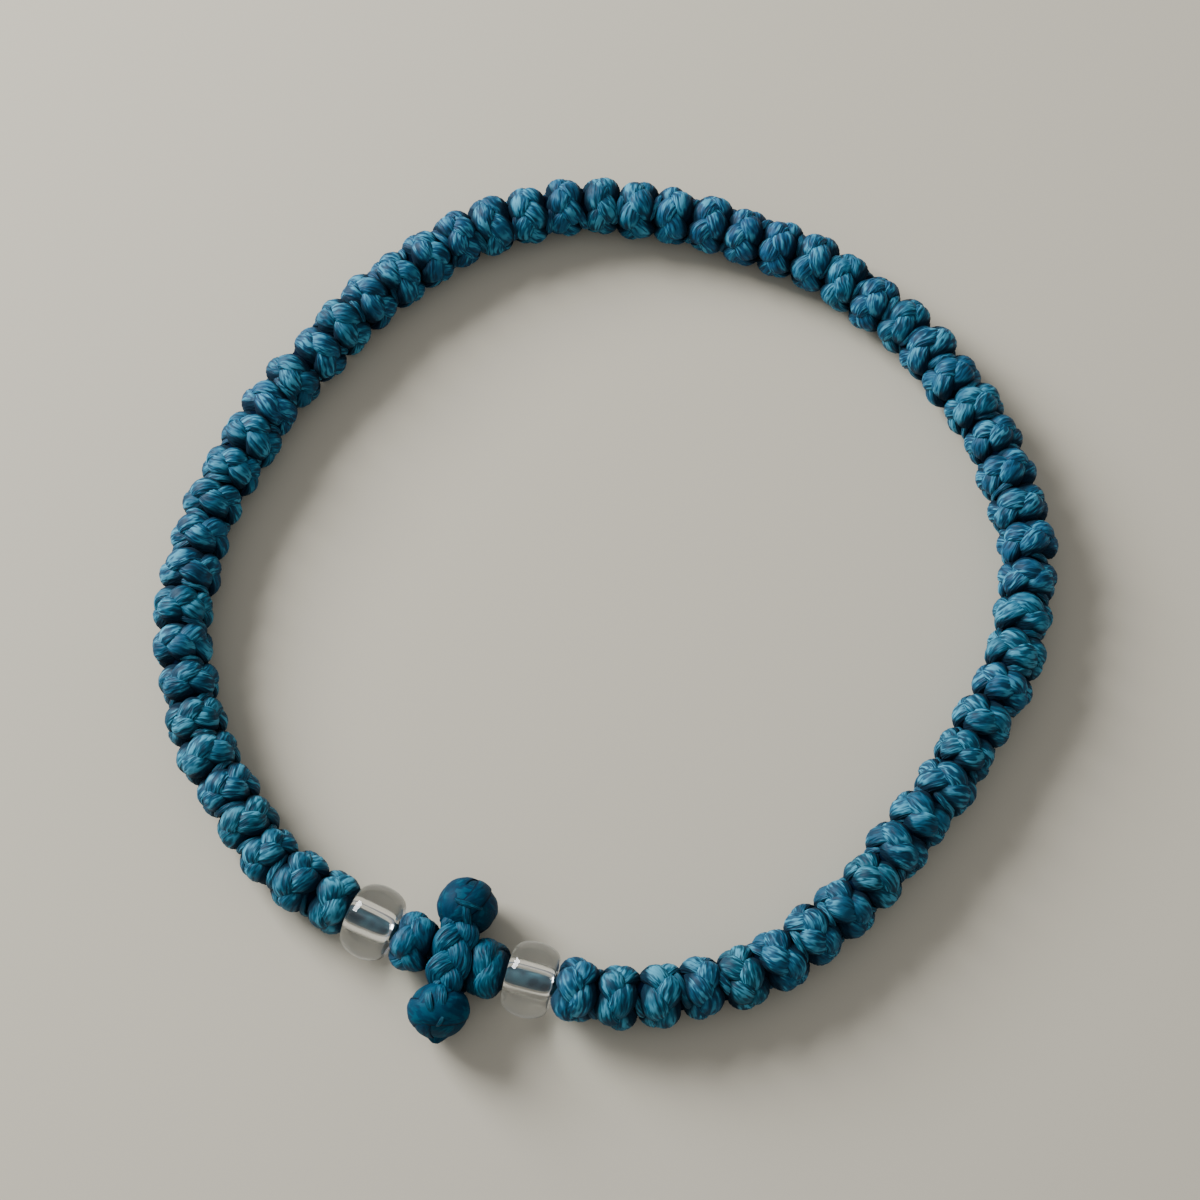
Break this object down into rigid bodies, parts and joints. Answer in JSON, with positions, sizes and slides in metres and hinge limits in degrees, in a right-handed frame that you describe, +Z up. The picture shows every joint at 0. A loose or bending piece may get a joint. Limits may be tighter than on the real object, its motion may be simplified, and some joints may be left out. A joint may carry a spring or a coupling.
{
  "type": "prayer rope bracelet",
  "caption": "Closed loop bracelet of woven waxed cord knots with a small knotted cross between clear glass beads, lying flat.",
  "frame": {"origin": "centre of the bracelet's bounding box at the surface it lies on", "axes": "+Z up out of the surface, along the wrist; -Y towards the side with the cross; +X to the right as seen from above with the cross at the front"},
  "size_m": [0.0612, 0.0624, 0.0049],
  "materials": {
    "waxed_cord": "waxed multi-filament cord in teal blue, tied in tight woven knots, low sheen",
    "waxed_cord_dark": "the same waxed cord wound tight and smooth, deeper blue",
    "clear_glass": "polished clear glass",
    "clear_elastic": "clear, slightly milky elastic thread"
  },
  "bodies": {
    "root": {"knot_string": "waxed_cord", "cross_arm_left": "waxed_cord", "cross_arm_right": "waxed_cord", "cross_bar": "waxed_cord", "cross_ball_inner": "waxed_cord_dark", "cross_ball_outer": "waxed_cord_dark", "glass_bead_left": "clear_glass", "glass_bead_right": "clear_glass", "elastic_core_left": "clear_elastic", "elastic_core_right": "clear_elastic"}
  },
  "joints": []
}
